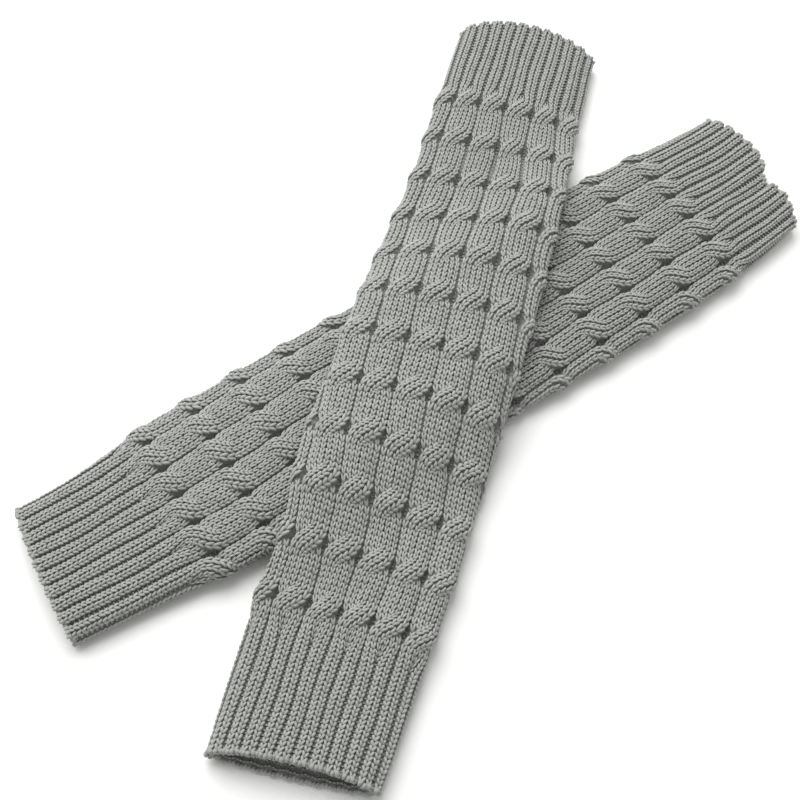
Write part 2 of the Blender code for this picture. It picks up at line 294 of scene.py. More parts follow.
@dataclass(eq=False)
class TubeForm:
    """The laid form of one warmer: its place, its sections, its hems and what it lies on."""

    start: tuple[float, float]
    heading: float
    sections: tuple[Section, ...]
    cast_on: Hem
    bind_off: Hem
    creases: tuple[Crease, ...] = ()
    lies_on: TubeForm | None = None

    def __post_init__(self) -> None:
        """Work out the tube's two directions in plan."""
        turn = math.radians(self.heading)
        self.forward = np.array((math.cos(turn), math.sin(turn)))
        self.rightward = np.array((math.sin(turn), -math.cos(turn)))

    @cache
    def section(self, along: float) -> Section:
        """Return the cross-section at a distance from the cast-on hem."""
        return smooth_table(self.sections, along)

    def pitch(self, along: Array) -> Array:
        """Return the width of a cable and its channel at distances along."""
        marks = np.arange(0.0, WARMER_LENGTH + 1.0, 2.0)
        return np.interp(along, marks, [self.section(mark).pitch for mark in marks])

    @cache
    def contour(self, along: float, layer: Layer) -> Contour:
        """Return the outline of the wall's outer or inner face at a distance along."""
        section, inset = self.section(along), layer.value
        half_width = (section.left + section.right) / 2 - EDGE_INSET - inset
        return Contour(half_width, inset, section.thick - inset, EDGE_ROUND - inset)

    def hem_reach(self, along: float, across: Array, height: Array) -> Array:
        """Return how far points of a cuff move along the tube with its uneven hem.

        Args:
            along: Distance from the cast-on hem.
            across: Distances right of the middle of the section.
            height: Heights above what the tube lies on.

        Returns:
            The moves, positive towards the bind-off hem.
        """
        section = self.section(along)
        if along < CAST_ON_CUFF:
            hem, share = self.cast_on, 1.0 - along / CAST_ON_CUFF
        else:
            hem, share = self.bind_off, 1.0 - (WARMER_LENGTH - along) / BIND_OFF_CUFF
        if share <= 0:
            return np.zeros_like(across)
        side = 2 * across / (section.left + section.right)
        upper = np.clip(height / section.thick, 0.0, 1.0)
        bow = hem.bow * upper + hem.under_bow * (1 - upper)
        fold = np.exp(-(((across - hem.notch_at) / FOLD_WIDTH) ** 2))
        return share * (hem.shift + hem.slant * side + bow * (1 - side**2) - hem.notch * fold)

    def lift(self, plan: Array) -> Array:
        """Return how high the underside lies at plan positions, climbing over the warmer below."""
        if self.lies_on is None:
            return np.zeros(len(plan))
        below = self.lies_on
        offset = plan - np.array(below.start)
        middle = np.interp(
            offset @ below.forward,
            [row.along for row in below.sections],
            [(row.right - row.left) / 2 for row in below.sections],
        )
        away = np.abs(offset @ below.rightward - middle)
        share = np.clip((away - CLIMB_TOP) / (CLIMB_FOOT - CLIMB_TOP), 0.0, 1.0)
        top = max(row.thick for row in below.sections) + CREST + LAY_GAP
        return top * (1 + np.cos(math.pi * share)) / 2

    def sag(self, along: float, across: Array) -> Array:
        """Return how much the upper layer is lowered by its creases and its slight unevenness."""
        total = sum(
            depth * np.sin(along / ahead + across / aside) for depth, ahead, aside in SAG_WAVES
        )
        for crease in self.creases:
            turn = math.radians(crease.turn)
            ahead, aside = along - crease.along, across - crease.across
            u = ahead * math.cos(turn) + aside * math.sin(turn)
            v = aside * math.cos(turn) - ahead * math.sin(turn)
            trough = np.exp(-((u / (crease.length / 2)) ** 4) - (v / crease.width) ** 2)
            total = total + crease.depth * trough
        return total

    def place(
        self, along: float, walked: Array, raised: Array | float, layer: Layer = Layer.OUTER
    ) -> Array:
        """Return points of one row round the tube, in millimetres.

        Args:
            along: Distance of the row from the cast-on hem.
            walked: Lengths walked round the outline from the middle of the upper side.
            raised: Heights above the face, outwards.
            layer: The wall's face.

        Returns:
            An array of points, one a row.
        """
        section = self.section(along)
        across, height, out_across, out_height = self.contour(along, layer).at(walked)
        upper = np.clip(height / section.thick, 0.0, 1.0) ** 2
        column = walked / section.pitch - section.turn
        ribs = 0.5 - 0.5 * np.cos(4 * math.pi * column)
        scallop = np.exp((along - WARMER_LENGTH) / SCALLOP_FADE) - np.exp(-along / SCALLOP_FADE)
        wobble = sum(
            depth * np.sin(along / length + shift + turn * column)
            for depth, length, shift, turn in WOBBLES
        )
        across = across + out_across * raised + upper * wobble
        height = height + out_height * raised - upper * self.sag(along, across)
        offset = across + (section.right - section.left) / 2
        reached = along + self.hem_reach(along, across, height) + SCALLOP * scallop * ribs
        plan = np.array(self.start) + np.outer(reached, self.forward)
        plan = plan + np.outer(offset, self.rightward)
        return np.column_stack((plan, height + self.lift(plan)))

    def covers(self, plan: Array, margin: float) -> Array:
        """Return which plan positions lie under this tube, at least a margin in from its edges."""
        offset = plan - np.array(self.start)
        along, across = offset @ self.forward, offset @ self.rightward
        table = [row.along for row in self.sections]
        left = np.interp(along, table, [row.left for row in self.sections])
        right = np.interp(along, table, [row.right for row in self.sections])
        inside = (along > margin) & (along < WARMER_LENGTH - margin)
        return inside & (across > margin - left) & (across < right - margin)


class TubeSurface:
    """The outer face of a tube as a fine grid, so that any number of stitches is placed at once."""

    ROW = 1.0
    PLACES = 24

    def __init__(self, form: TubeForm, first: int, last: int) -> None:
        """Sample the face.

        Args:
            form: The tube.
            first: Leftmost column of cables.
            last: Column after the rightmost one.
        """
        self.first = first - 1
        places = (last + 1 - self.first) * self.PLACES
        self.columns = np.arange(places + 1) / self.PLACES + self.first
        marks = np.arange(0.0, WARMER_LENGTH + self.ROW / 2, self.ROW)
        low, high, heights, walks = [], [], [], []
        for along in marks:
            section, contour = form.section(along), form.contour(along, Layer.OUTER)
            walked = (self.columns + section.turn) * section.pitch
            low.append(form.place(along, walked, 0.0))
            high.append(form.place(along, walked, 1.0))
            heights.append(contour.at(walked)[1])
            walks.append(contour.length / 2 - np.abs(walked))
        self.points = np.array(low)
        self.outward = np.array(high) - self.points
        self.heights = np.array(heights)
        self.spare = np.array(walks)

    def at(self, along: Array, column: Array, raised: Array) -> Arrays:
        """Return points raised from the face.

        Args:
            along: Distances from the cast-on hem.
            column: Columns from the middle of the chart.
            raised: Heights above the face.

        Returns:
            The points, their heights above what the tube lies on, and how far they are from the
            middle of the underside.
        """
        row = np.clip(along / self.ROW, 0.0, len(self.points) - 1.001)
        place = np.clip((column - self.first) * self.PLACES, 0.0, len(self.columns) - 1.001)
        i, j = row.astype(int), place.astype(int)
        u, v = row - i, place - j

        def blend(grid: Array) -> Array:
            """Return a grid's values between its samples."""
            wide = (slice(None), None) if grid.ndim == 3 else slice(None)
            low = grid[i, j] * (1 - v)[wide] + grid[i, j + 1] * v[wide]
            high = grid[i + 1, j] * (1 - v)[wide] + grid[i + 1, j + 1] * v[wide]
            return low * (1 - u)[wide] + high * u[wide]

        height = blend(self.heights)
        lifted = raised * smooth_step(height / FLANK_HEIGHT)
        past = np.clip(along, None, 0.0) + np.clip(along - WARMER_LENGTH, 0.0, None)
        ahead = self.points[i + 1, j] - self.points[i, j]
        points = blend(self.points) + blend(self.outward) * lifted[:, None] + ahead * past[:, None]
        return points, height, blend(self.spare)


@dataclass(frozen=True)
class StrandRun:
    """One strand of three wales, sampled along the whole tube."""

    along: Array       # where each sample lies
    across: Array      # its middle, right of the cable's own middle
    heading: Array     # its direction, in radians to the right of the tube's
    walked: Array      # length walked along the strand
    over: Array        # 0 to 1 where it lies over the other strand
    under: Array       # 0 to 1 where it lies under the other strand
    cable: Array       # 0 in the ribs, 1 in the cables
    pitch: Array       # width of a cable and its channel
    side: float             # -1 for the strand that starts at the left, 1 for the other

    def look(self, known: str, values: Array, *names: str) -> list[Array]:
        """Return some of its values, by name, where a known one has the values given."""
        return [np.interp(values, getattr(self, known), getattr(self, name)) for name in names]


@dataclass
class KnitChart:
    """The stitch pattern of one tube: where each wale runs, and how far it is raised."""

    form: TubeForm
    first: float = 74.0         # where the first crossing lies along the tube,
    last: float = 396.0         # where the last does,
    crossings: int = 12         # and how many there are
    over_reach: float = 10.5    # how far from a crossing one strand starts to rise
    under_reach: float = 5.2    # and how far from it the other starts to sink
    over_sweep: float = 6.0     # the smaller, the more sideways a strand crosses over
    under_sweep: float = 5.2    # and below
    drawn_from: float = WARMER_LENGTH   # past here the fabric is drawn out lengthwise
    drawn: float = 0.15         # and its strands cross in curves this much longer
    overshoot: float = 0.25     # how far past its place a strand swings beside a crossing
    swing: float = 1.35         # where it swings farthest, in shares of the sweep
    bulk: float = 0.30          # how much wider a strand is where it crosses the other
    turning: float = 0.86       # how far the wales' own rows turn with the strand
    over_lift: float = 2.2      # how far a strand rises where it lies on top
    under_drop: float = 1.6     # and how far it sinks where it lies below
    crest: float = 3.1          # height of a cable's middle
    cable_fall: float = 0.80    # share of the crest that is lost at a cable's edge
    strand_fall: float = 0.36   # and at the outer wales of a strand that lies on top
    cable_round: float = 2.5    # the larger, the flatter a cable's top
    rib_crest: float = 2.3      # height of a rib's middle
    rib_place: float = 0.25     # middle of a rib, in shares of a pitch from the channel
    strand_place: float = 0.257     # and middle of a strand in the cables
    rib_wale: float = 0.209     # width of a wale in a rib, in shares of a pitch
    rib_purl: float = 0.044     # and of a purl wale, drawn together between two ribs
    rib_fall: float = 0.62      # share of the crest that is lost at a rib's edge
    cable_wale: float = 0.158   # width of a wale in a cable, in shares of a pitch
    blend_start: float = 53.0   # where the near cuff's ribs start to run into the cables
    blend_end: float = 68.0     # and where they have
    far_blend: float = 5.0      # how far into the far cuff the cables end
    far_length: float = 12.0    # and over what length they turn into ribs
    sample: float = 0.2         # distance between two samples of a strand
    backing: float = 0.20       # how far the wall lies behind the middle of the stitches
    groove: float = 0.5         # and how much farther between two wales
    purl: float = 0.3           # depth of a channel between ribs
    channel: float = 0.45       # and how much deeper one is between cables
    dimple: float = 1.2         # how much deeper a channel is beside a crossing
    relief_row: float = 0.5     # the relief's grid: length of a row,
    relief_places: int = 48     # and places across a pitch
    relief_wales: Point = (-1.45, 1.451, 0.06)  # its first and last wale, and the step between
    rib_reach: float = 0.95     # how far a rib reaches to either side in it, in wales

    def __post_init__(self) -> None:
        """Lay out both strands and the relief that they make together."""
        self.strands = (self._run(-1.0), self._run(1.0))
        self.crossed = self.strands[0].over + self.strands[1].over
        self.relief = self._relief()

    def cable_share(self, along: Array) -> Array:
        """Return 0 in the ribs and 1 in the cables, eased where one runs into the other."""
        near = (along - self.blend_start) / (self.blend_end - self.blend_start)
        far = (WARMER_LENGTH - BIND_OFF_CUFF + self.far_blend - along) / self.far_length
        return smooth_step(np.minimum(near, far))

    def _run(self, side: float) -> StrandRun:
        """Return one strand, which changes sides at every crossing."""
        along = np.arange(0.0, WARMER_LENGTH + self.sample / 2, self.sample)
        spacing = (self.last - self.first) / (self.crossings - 1)
        number = np.clip(np.round((along - self.first) / spacing), 0, self.crossings - 1)
        past = along - self.first - number * spacing
        cable = self.cable_share(along)
        pitch = self.form.pitch(along)
        starts_left = (number % 2 == 0) == (side < 0)
        curve = 1.0 + self.drawn * smooth_step((along - self.drawn_from) / EASE_LENGTH)
        turned = past / (np.where(starts_left, self.over_sweep, self.under_sweep) * curve)
        swing = turned / self.swing * np.exp(0.5 - 0.5 * (turned / self.swing) ** 2)
        midway = np.cos(math.pi * np.clip(past / spacing, -0.5, 0.5)) ** 2
        moved = np.tanh(turned) + self.overshoot * cable * swing * midway
        place = 0.5 - (self.rib_place + (self.strand_place - self.rib_place) * cable)
        across = np.where(starts_left, moved, -moved) * place * pitch
        heading = np.arctan(np.gradient(across, along))
        steps = np.hypot(np.diff(across), np.diff(along))
        over, under = (
            np.cos(math.pi / 2 * np.minimum(np.abs(past) / reach, 1.0)) ** 2 * cable
            for reach in (self.over_reach, self.under_reach)
        )
        return StrandRun(
            along=along,
            across=across,
            heading=heading,
            walked=np.concatenate(([0.0], np.cumsum(steps))),
            over=np.where(starts_left, over, 0.0),
            under=np.where(starts_left, 0.0, under),
            cable=cable,
            pitch=pitch,
            side=side,
        )

    def on_strand(self, strand: StrandRun, walked: Array, wale: Array | float) -> Arrays:
        """Return points on a strand.

        Args:
            strand: The strand.
            walked: Lengths walked along it.
            wale: Wales right of its middle wale, from -1.5 to 1.5.

        Returns:
            Distance along the tube, place across the pitch from the channel, and raised height.
        """
        names = ("along", "across", "heading", "over", "under", "cable", "pitch")
        ahead, beside, heading, over, under, cable, pitch = strand.look("walked", walked, *names)
        on_left = beside < 0
        # A rib is two wales; the third, at the cable's middle, is a purl wale until the cables.
        from_rib = np.where(on_left, wale + 0.5, wale - 0.5)
        in_rib = np.clip(from_rib, -1.0, 1.0)
        rib = in_rib * self.rib_wale + (from_rib - in_rib) * self.rib_purl
        offset = (rib + (wale * self.cable_wale - rib) * cable) * pitch
        offset = offset * (1.0 + self.bulk * (over + under))
        turn = heading * self.turning
        along = ahead - offset * np.sin(turn)
        across = beside + offset * np.cos(turn)
        # Side by side, the strands make one round cable; the one on top is a round of its own.
        from_middle = np.where(on_left, 1.5 - wale, 1.5 + wale) / 3.0
        together = self.cable_fall * np.clip(from_middle, 0.0, None) ** self.cable_round
        alone = self.strand_fall * wale**2
        fall = together + (alone - together) * over
        crest = self.rib_crest + (self.crest - self.rib_crest) * cable
        shape = 1.0 - fall * cable - self.rib_fall * from_rib**2 * (1 - cable)
        lift = self.over_lift * over - self.under_drop * under
        place = 0.5 + across / strand.look("along", along, "pitch")[0]
        return along, place, crest * shape + lift

    def _relief(self) -> Array:
        """Return the highest strand on a grid of rows along the tube and places across a pitch."""
        rows = int(WARMER_LENGTH / self.relief_row) + 2
        deep = np.interp(np.arange(rows) * self.relief_row, self.strands[0].along, self.crossed)
        cable = self.cable_share(np.arange(rows) * self.relief_row)
        floor = -self.purl - self.channel * cable - self.dimple * deep
        grid = np.repeat(floor[:, None], self.relief_places, axis=1)
        for strand in self.strands:
            walked = np.arange(0.0, strand.walked[-1], self.sample)
            for wale in np.arange(*self.relief_wales):
                along, place, raised = self.on_strand(strand, walked, wale)
                cable = self.cable_share(along)
                rib_edge = np.where(place < 0.5, wale + 0.5, wale - 0.5)
                inside = (np.abs(rib_edge) < self.rib_reach) | (cable > 0.5)
                row = np.clip(np.round(along / self.relief_row), 0, rows - 1).astype(int)
                column = np.round(place * self.relief_places).astype(int) % self.relief_places
                behind = raised - self.backing - self.groove * math.sin(math.pi * wale) ** 2
                np.maximum.at(grid, (row[inside], column[inside]), behind[inside])
        return grid

    def shell_raised(self, along: float, place: Array) -> Array:
        """Return how far the wall behind the stitches is raised at places across a pitch."""
        row = along / self.relief_row
        low = min(int(row), len(self.relief) - 2)
        values = self.relief[low] + (self.relief[low + 1] - self.relief[low]) * (row - low)
        places = np.arange(self.relief_places + 1) / self.relief_places
        return np.interp(place % 1.0, places, np.append(values, values[0]))


def linear_colour(code: str) -> tuple[float, float, float, float]:
    """Return a linear colour from an sRGB hex value such as "#8a8c88"."""
    values = [int(code[i : i + 2], 16) / 255 for i in (1, 3, 5)]
    linear = [v / 12.92 if v <= 0.04045 else ((v + 0.055) / 1.055) ** 2.4 for v in values]
    return linear[0], linear[1], linear[2], 1.0


def add_object(name: str, data: ID) -> Object:
    """Return a new object in the scene."""
    made = bpy.data.objects.new(name, data)
    bpy.context.scene.collection.objects.link(made)
    return made


def add_attribute(mesh: Mesh, name: str, values: Array | list[float]) -> None:
    """Store a number or a vector for every point of a mesh.

    Args:
        mesh: The mesh.
        name: The attribute's name.
        values: A number for each point, or a row of three.
    """
    kind, field = ("FLOAT", "value") if np.ndim(values) == 1 else ("FLOAT_VECTOR", "vector")
    layer = mesh.attributes.new(name, kind, "POINT")
    layer.data.foreach_set(field, np.asarray(values, np.float32).ravel())


def add_uv(mesh: Mesh, name: str, values: Array) -> None:
    """Store a UV map, with a row for every corner of a mesh."""
    layer = mesh.uv_layers.new(name=name)
    layer.data.foreach_set("uv", values.astype(np.float32).ravel())


def close_mesh(mesh: Mesh) -> None:
    """Shade a closed mesh smooth, and turn its faces round if they point inwards."""
    for face in mesh.polygons:
        face.use_smooth = True
    mesh.calc_loop_triangles()
    points = np.zeros(len(mesh.vertices) * 3)
    mesh.vertices.foreach_get("co", points)
    corners = np.zeros(len(mesh.loop_triangles) * 3, int)
    mesh.loop_triangles.foreach_get("vertices", corners)
    a, b, c = points.reshape(-1, 3)[corners.reshape(-1, 3).T]
    if np.einsum("ij,ij->i", a, np.cross(b, c)).sum() < 0:
        mesh.flip_normals()


@dataclass
class NodeWorks:
    """A node tree that is put together node by node."""

    tree: NodeTree

    def fill(self, node: Node, inputs: dict[str | int, object]) -> None:
        """Set a node's inputs, by name or number, to values or link them to output sockets."""
        for key, value in inputs.items():
            if isinstance(value, NodeSocket):
                self.tree.links.new(value, node.inputs[key])
            else:
                node.inputs[key].default_value = value

    def add(
        self, kind: str, inputs: dict[str | int, object] | None = None, **settings: object
    ) -> Node:
        """Add a node.

        Args:
            kind: The node's type name.
            inputs: Input names or numbers, each with its value or the socket to link.
            settings: The node's own settings.

        Returns:
            The new node.
        """
        node = self.tree.nodes.new(kind)
        for name, value in settings.items():
            setattr(node, name, value)
        self.fill(node, inputs or {})
        return node

    def maths(self, operation: str, *values: object, clamp: bool = False) -> NodeSocket:
        """Return the result of an operation on numbers and sockets."""
        inputs = dict(enumerate(values))
        return self.add("ShaderNodeMath", inputs, operation=operation, use_clamp=clamp).outputs[0]

    def attribute(self, name: str) -> NodeSocket:
        """Return the number that a mesh attribute holds."""
        return self.add("ShaderNodeAttribute", attribute_name=name).outputs["Fac"]

    def mix(self, share: NodeSocket, one: object, two: object) -> NodeSocket:
        """Return a colour between two, at a share of the way."""
        return self.add("ShaderNodeMix", {0: share, 6: one, 7: two}, data_type="RGBA").outputs[2]

    def bump(self, height: object, strength: float, depth: float) -> NodeSocket:
        """Return the normal of a drawn relief whose depth is in millimetres."""
        inputs = {"Strength": strength, "Distance": depth * MM, "Height": height}
        return self.add("ShaderNodeBump", inputs).outputs[0]


@dataclass(frozen=True)
class Finish:
    """A plain matt surface, which the knitted finishes draw their yarn on."""

    colour: str = "#f4f4f2"
    roughness: float = 0.9
    specular: float = 0.1
    sheen: float = 0.0
    relief: tuple[float, float] = (0.0, 0.0)    # strength, and depth in millimetres

    def draw(self, works: NodeWorks) -> dict[str, object]:
        """Return the shader's inputs that this finish draws."""
        return {"Base Color": linear_colour(self.colour)}

    def build(self, name: str) -> Material:
        """Return a new material with this finish."""
        material = bpy.data.materials.new(name)
        material.use_nodes = True
        works = NodeWorks(material.node_tree)
        inputs = {
            "Roughness": self.roughness,
            "Specular IOR Level": self.specular,
            "Sheen Weight": self.sheen,
        }
        works.fill(works.tree.nodes["Principled BSDF"], self.draw(works) | inputs)
        return material


@dataclass(frozen=True)
class YarnFinish(Finish):
    """Brushed acrylic yarn, spun in plies: matt, a little heathered, with a faint nap.

    The crown of each stitch is paler than the sides that go down into the fabric: those carry
    painted shade, for the recesses between the stitches.
    """

    colour: str = "#acaeaa"
    dark: str = "#949692"
    # painted shade: the colour of the stitches' low ends, where they go down into the fabric
    deep: str = "#989a96"
    fleck_mm: float = 1.3
    heather: float = 0.55       # how far the flecks go from dark to light
    crown: tuple[float, float] = (0.15, 0.85)   # heights between which the painted shade of the stitches' low ends fades out
    ply_mm: float = 1.15        # one turn of the plies, drawn coarse enough to show
    ply_turns: float = 0.32     # texture scale of one turn a millimetre
    ply_wander: float = 0.6     # how unevenly they are spun
    roughness: float = 0.80
    specular: float = 0.3
    sheen: float = 0.15
    relief: tuple[float, float] = (0.5, 0.12)

    def draw(self, works: NodeWorks) -> dict[str, object]:
        """Return the yarn's heathered colour with painted shade, and the relief of its plies."""
        place = works.add("ShaderNodeTexCoord").outputs["Object"]
        flecks = {"Vector": place, "Scale": 1 / (self.fleck_mm * MM), "Detail": 2.0}
        fleck = works.add("ShaderNodeTexNoise", flecks).outputs["Fac"]
        share = works.maths(
            "MULTIPLY_ADD", fleck, self.heather, works.attribute("tone"), clamp=True
        )
        light = works.mix(share, linear_colour(self.dark), linear_colour(self.colour))
        # Painted shade: the stitches' low ends, where they go down into the fabric, take the deep
        # colour, and their crowns the heathered one.
        unshaded_share = works.add(
            "ShaderNodeMapRange",
            {
                "Value": works.attribute("crown"),
                "From Min": self.crown[0],
                "From Max": self.crown[1],
            },
            interpolation_type="SMOOTHSTEP",
        ).outputs[0]
        ply = works.add("ShaderNodeUVMap", uv_map="ply").outputs[0]
        turns = works.add(
            "ShaderNodeTexWave",
            {
                "Vector": ply,
                "Scale": self.ply_turns / self.ply_mm,
                "Distortion": self.ply_wander,
            },
            wave_type="BANDS",
            bands_direction="DIAGONAL",
        ).outputs["Fac"]
        return {
            "Base Color": works.mix(unshaded_share, linear_colour(self.deep), light),
            "Normal": works.bump(turns, *self.relief),
        }


@dataclass(frozen=True)
class WallFinish(Finish):
    """The same yarn seen between and behind the stitches, where it lies in its own shade.

    Where the wall is bare, inside the tube and underneath, it takes the yarn's full tone, and its
    purl rows stand out as small bars.
    """

    colour: str = "#888a86"
    shade: str = "#888985"
    roughness: float = 0.92
    specular: float = 0.12
    sheen: float = 0.1
    relief: tuple[float, float] = (0.8, 0.35)
    bow: float = 0.18           # how far a bar bows at its ends, in courses
    wales: float = 0.35         # height of the wales, in shares of the bars'

    def draw(self, works: NodeWorks) -> dict[str, object]:
        """Return the wall's colour and its purl bars, drawn on the chart's own stitch counts."""
        bare = works.attribute("bare")
        chart = works.add("ShaderNodeUVMap", uv_map="chart").outputs[0]
        wale, course = works.add("ShaderNodeSeparateXYZ", {0: chart}).outputs[:2]
        wave = works.maths("COSINE", works.maths("MULTIPLY", wale, 2 * math.pi))
        shifted = works.maths("MULTIPLY_ADD", wave, self.bow, course)
        bars = works.maths("SINE", works.maths("MULTIPLY", shifted, 2 * math.pi))
        height = works.maths("MULTIPLY_ADD", wave, self.wales, bars)
        return {
            "Base Color": works.mix(bare, linear_colour(self.shade), linear_colour(self.colour)),
            "Normal": works.bump(height, *self.relief),
        }


@dataclass
class YarnLoop:
    """A short length of yarn with closed, tapered ends, drawn through a few centres."""

    centres: tuple[Point, ...]
    radii: tuple[float, ...]
    sides: int = 5

    def rings(self) -> tuple[list[Point], list[tuple[int, ...]], list[float]]:
        """Return the points, the faces and each point's distance along the yarn."""
        centres, sides = np.array(self.centres), self.sides
        walked = np.cumsum([0.0, *unit(np.diff(centres, axis=0))[1]])
        direction, _ = unit(centres[2:] - centres[:-2])
        side, _ = unit(np.cross(direction, (0.0, 0.0, 1.0)))
        up = np.cross(side, direction)
        angle = (2 * math.pi * np.arange(sides) / sides + math.pi / 2)[None, :, None]
        ring = side[:, None] * np.cos(angle) + up[:, None] * np.sin(angle)
        ring = centres[1:-1, None] + np.array(self.radii)[1:-1, None, None] * ring
        points = [self.centres[0], *map(tuple, ring.reshape(-1, 3)), self.centres[-1]]
        marks = [walked[0], *np.repeat(walked[1:-1], sides), walked[-1]]
        faces: list[tuple[int, ...]] = []
        top = 1 + (len(centres) - 3) * sides
        for step in range(sides):
            following = (step + 1) % sides
            faces.append((0, 1 + step, 1 + following))
            for low in range(1, top, sides):
                high = low + sides
                faces.append((low + step, high + step, high + following, low + following))
            faces.append((top + following, top + step, top + sides))
        return points, faces, marks


@dataclass
class StitchModel:
    """The small meshes that are knitted in everywhere: a knit stitch, a purl bar and a hem loop."""

    yarn: float = 0.59          # radius of the yarn
    ply_stretch: float = 1.6    # how much faster the plies' pattern runs across the yarn

    def knit_stitch(self) -> Object:
        """Return one knit stitch: two legs that lean apart from a shared foot."""
        points = (
            (0.03, -0.76, -0.80),
            (0.10, -0.38, 0.30),
            (0.20, 0.04, 0.55),
            (0.29, 0.44, 0.15),
            (0.34, 0.76, -1.00),
        )
        radii = (0.0, 0.80, 1.0, 0.82, 0.0)
        legs = [self._length((side * WALE, COURSE), points, radii) for side in (-1, 1)]
        return self._mesh("knit_stitch", legs)

    def purl_bar(self) -> Object:
        """Return the bar of a purl stitch, which lies across the fabric in a shallow arch."""
        points = ((-0.52, -0.16, -0.9), (-0.22, 0.06, 0.2), (0.22, 0.06, 0.2), (0.52, -0.16, -0.9))
        bar = self._length((WALE, COURSE), points, (0.0, 0.95, 0.95, 0.0))
        return self._mesh("purl_bar", [bar])

    def hem_loop(self) -> Object:
        """Return one loop of the cast-on or bound-off edge, lying along the hem."""
        points = ((0.6, -0.70, -0.7), (0.2, -0.38, 0.1), (-0.2, 0.1, 0.35), (-0.5, 0.66, -0.4))
        loop = self._length((self.yarn, WALE), points, (0.0, 1.1, 1.2, 0.0))
        return self._mesh("hem_loop", [loop])

    def _length(
        self, scale: tuple[float, float], points: tuple[Point, ...], radii: tuple[float, ...]
    ) -> YarnLoop:
        """Return a length of yarn.

        Args:
            scale: Size of the stitch across and ahead.
            points: Its centres, in shares of that size, and upwards in yarn radii.
            radii: Its thickness at each centre, in yarn radii.

        Returns:
            The length, to be made into a mesh.
        """
        wide, long = scale
        centres = tuple((wide * x, long * y, self.yarn * z) for x, y, z in points)
        return YarnLoop(centres, tuple(radius * self.yarn for radius in radii))

    def _mesh(self, name: str, loops: list[YarnLoop]) -> Object:
        """Return an object of several yarn lengths, with the plies' own UV map in millimetres."""
        points: list[Point] = []
        faces: list[tuple[int, ...]] = []
        marks: list[float] = []
        crowns: list[float] = []
        for loop in loops:
            found, sides, walked = loop.rings()
            heights = [point[2] for point in found]
            low, high = min(heights), max(heights)
            crowns += [(height - low) / (high - low) for height in heights]
            faces += [tuple(index + len(points) for index in face) for face in sides]
            points += found
            marks += walked
        mesh = bpy.data.meshes.new(name)
        mesh.from_pydata([[v * MM for v in point] for point in points], [], faces)
        # The crown runs from 0 at a yarn length's lowest point to 1 at its highest; the yarn's
        # finish paints shade on the low ends by it.
        add_attribute(mesh, "crown", crowns)
        ply = np.column_stack((np.array(points)[:, 0] * self.ply_stretch, marks))
        add_uv(mesh, "ply", ply[[corner.vertex_index for corner in mesh.loops]])
        close_mesh(mesh)
        return add_object(name, mesh)


